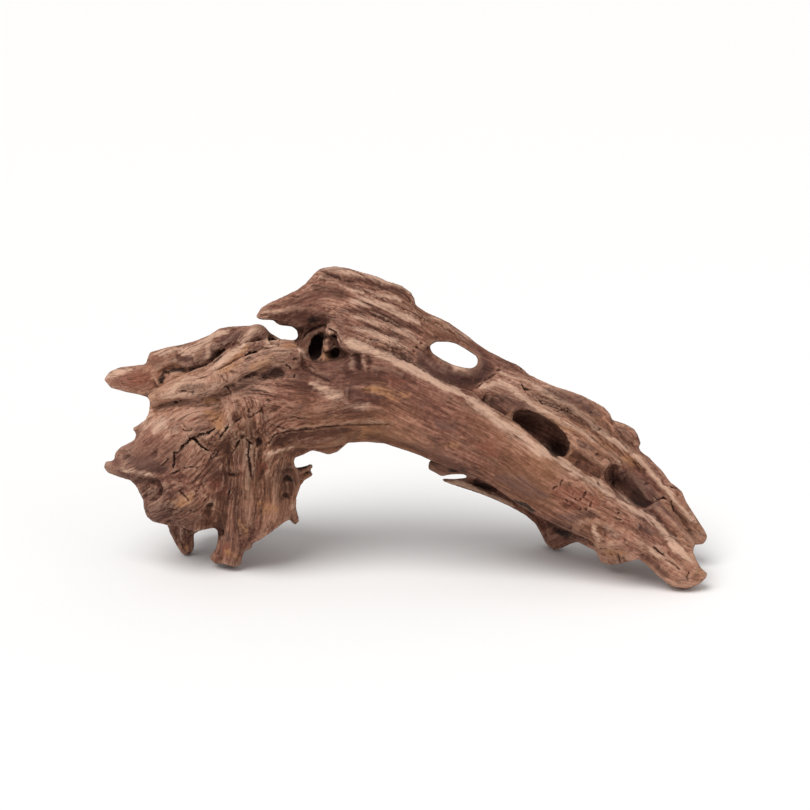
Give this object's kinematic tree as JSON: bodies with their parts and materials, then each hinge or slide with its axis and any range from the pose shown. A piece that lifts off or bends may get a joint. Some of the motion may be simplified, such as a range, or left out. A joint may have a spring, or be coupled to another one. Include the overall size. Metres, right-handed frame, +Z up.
{
  "type": "honeycomb wood piece",
  "caption": "Weathered root wood for a tank or display: a gnarled root head on pegs, an arching trunk, and a roof plate worn through by holes.",
  "frame": {"origin": "middle of the bounding box, at the ground that the wood stands on", "axes": "+X from the root head to the foot, +Y away from the side that the picture shows, +Z up"},
  "size_m": [0.4038, 0.13, 0.1971],
  "materials": {
    "weathered_wood": "bare, weathered and dry, with raised grain"
  },
  "bodies": {
    "root": {"driftwood": "weathered_wood"}
  },
  "joints": []
}
